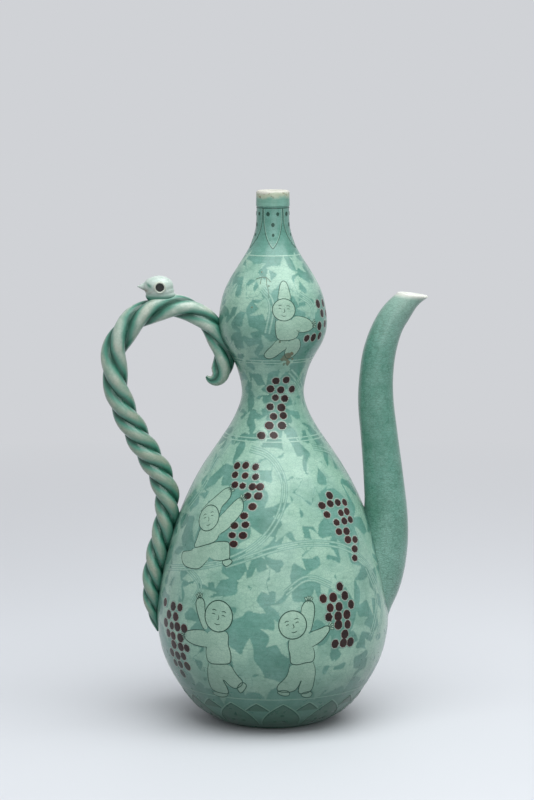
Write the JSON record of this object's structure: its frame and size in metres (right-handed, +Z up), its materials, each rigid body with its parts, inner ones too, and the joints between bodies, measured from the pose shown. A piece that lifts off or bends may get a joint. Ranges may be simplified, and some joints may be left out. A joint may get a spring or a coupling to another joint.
{
  "type": "celadon ewer",
  "caption": "Gourd-shaped celadon ewer with an S-curved spout, a twisted rope handle topped by a bird's head, and inlaid vines, grapes and figures.",
  "frame": {"origin": "centre of the foot's resting face", "axes": "+Z up along the turning axis, +X towards the spout, -X towards the handle"},
  "size_m": [0.2126, 0.1528, 0.35],
  "materials": {
    "celadon_glaze": "glossy crackled celadon glaze over inlay",
    "rope_glaze": "glossy celadon glaze, pale on the ridges and deep in the grooves",
    "white_slip": "white slip under thin glaze",
    "bare_rim": "unglazed white rim with a tan edge",
    "foot_glaze": "glaze pooled dark round the foot"
  },
  "bodies": {
    "root": {"foot": "foot_glaze", "lower_body": "celadon_glaze", "waist_collar": "celadon_glaze", "upper_bulb": "celadon_glaze", "neck": "celadon_glaze", "lip_ring": "bare_rim", "spout": "celadon_glaze", "spout_luting": "celadon_glaze", "handle_strand_1": "rope_glaze", "handle_strand_2": "rope_glaze", "handle_strand_3": "rope_glaze", "handle_upper_luting": "celadon_glaze", "handle_lower_luting": "celadon_glaze", "bird_head": "white_slip"}
  },
  "joints": []
}
